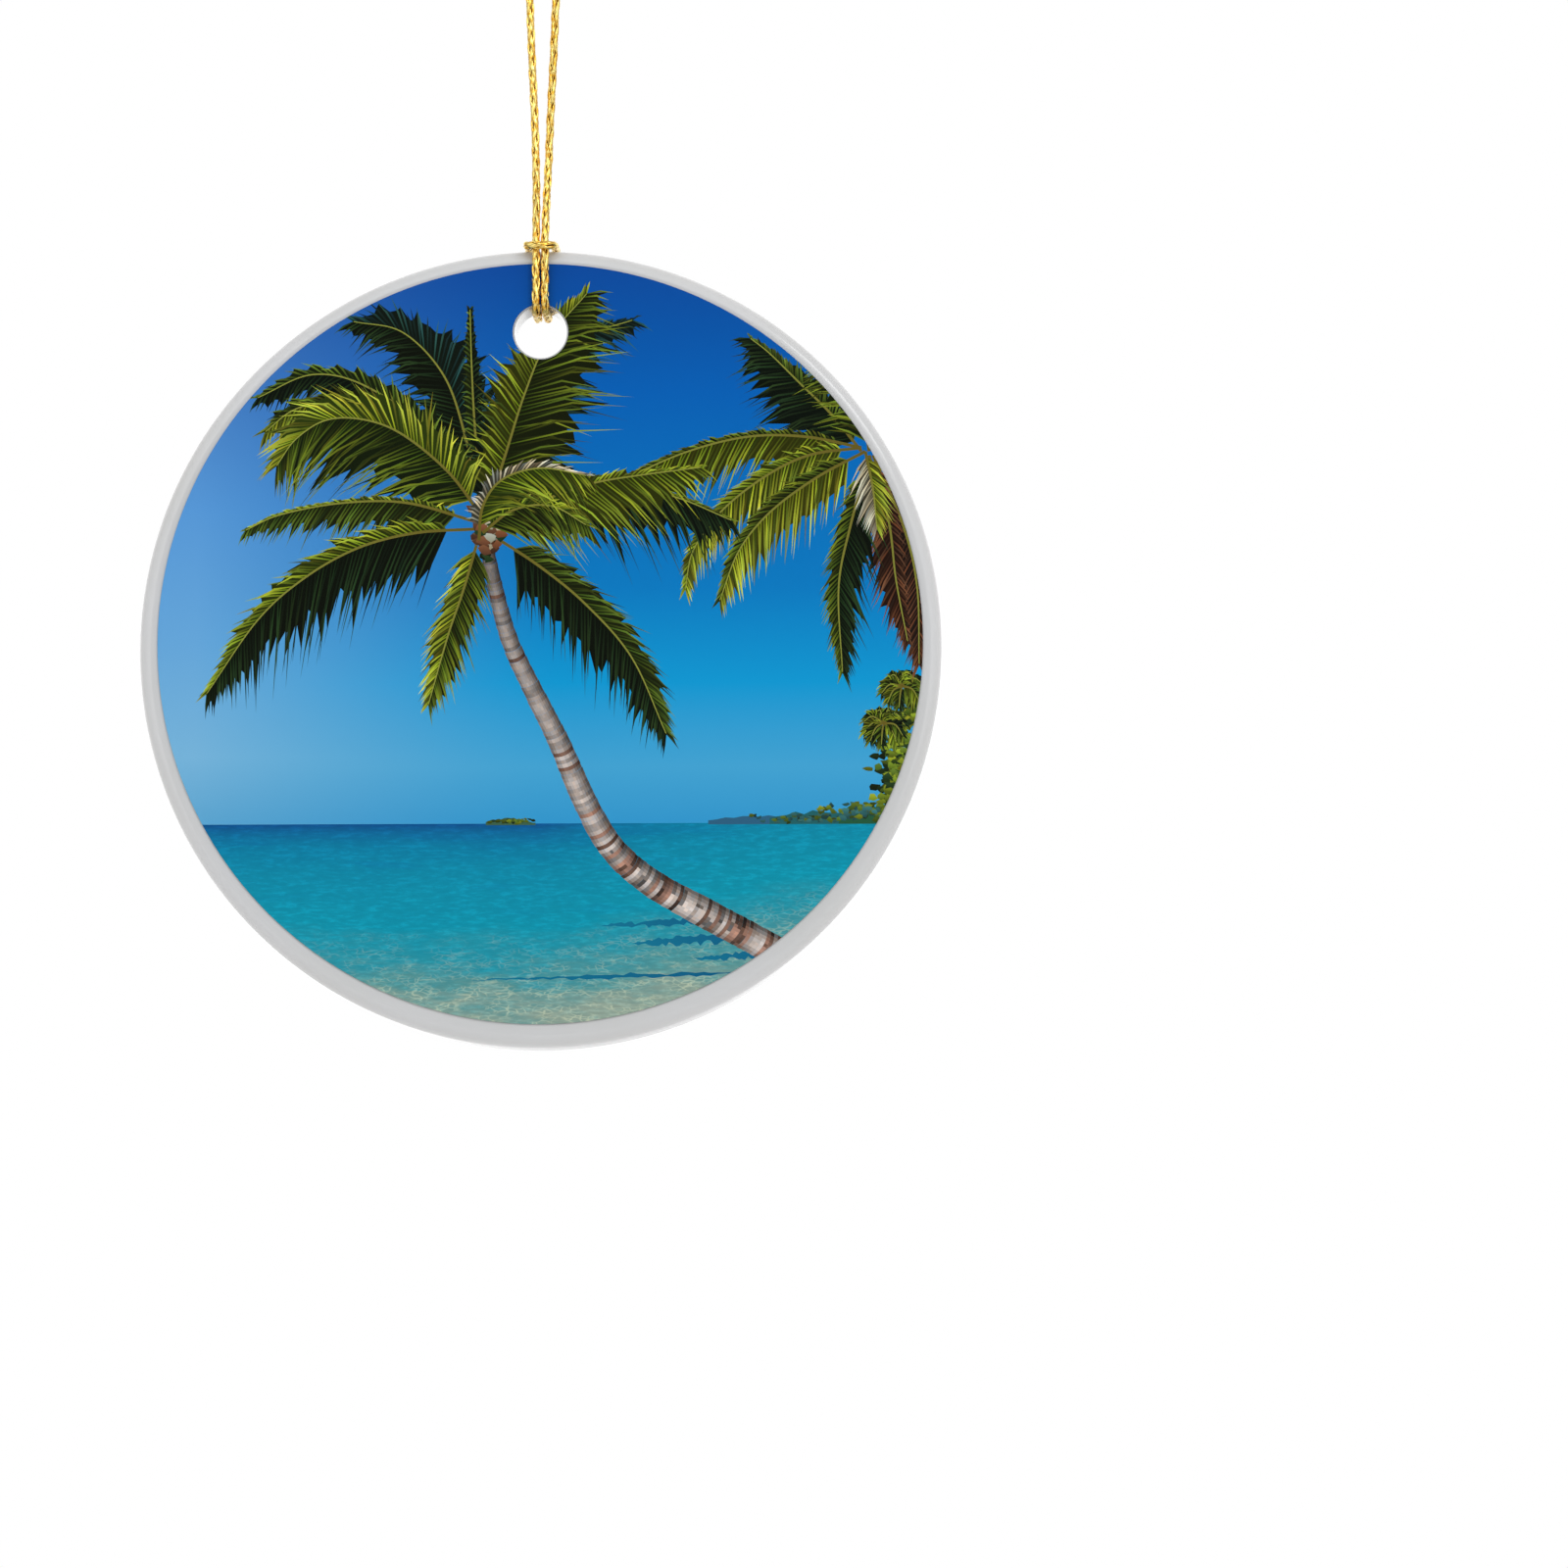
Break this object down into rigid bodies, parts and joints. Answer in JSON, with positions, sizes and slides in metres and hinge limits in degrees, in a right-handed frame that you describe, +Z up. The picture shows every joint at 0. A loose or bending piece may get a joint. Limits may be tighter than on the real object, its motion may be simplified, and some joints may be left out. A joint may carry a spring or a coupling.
{
  "type": "souvenir christmas ornament",
  "caption": "Round glazed ceramic hanging ornament with a printed front, rounded edges and a hole near the top, hung from a knotted loop of gold cord.",
  "frame": {"origin": "where the cord hangs on its hook: the underside of the knot, between the two strands", "axes": "+Z up along the hanging cord, -Y out of the printed front face, +Y out of the plain back, +X to the right seen from the front"},
  "size_m": [0.073, 0.0075, 0.1382],
  "materials": {
    "white_ceramic": "gloss white glaze",
    "printed_coating": "gloss printed coating, tropical beach picture",
    "gold_cord": "metallic gold braid"
  },
  "bodies": {
    "hook_end": {"cord_knot": "gold_cord", "cord_tail_left": "gold_cord", "cord_tail_right": "gold_cord"},
    "neck": {"cord_neck_left": "gold_cord", "cord_neck_right": "gold_cord"},
    "loop": {"cord_loop_left": "gold_cord", "cord_loop_right": "gold_cord"},
    "ornament": {"cord_front_left": "gold_cord", "cord_front_right": "gold_cord", "cord_bight": "gold_cord", "ceramic_disc": "white_ceramic", "printed_coating": "printed_coating"}
  },
  "joints": [
    {"name": "swing_front", "type": "hinge", "parent": "hook_end", "child": "neck", "pos_m": [0, 0, 0.0016], "axis": [1, 0, 0], "range_deg": [-40, 40]},
    {"name": "swing_side", "type": "hinge", "parent": "neck", "child": "loop", "pos_m": [0, 0, 0.0016], "axis": [0, 1, 0], "range_deg": [-40, 40]},
    {"name": "turn", "type": "hinge", "parent": "loop", "child": "ornament", "pos_m": [0, 0, -0.045], "axis": [0, 0, 1], "range_deg": [-180, 180]}
  ]
}
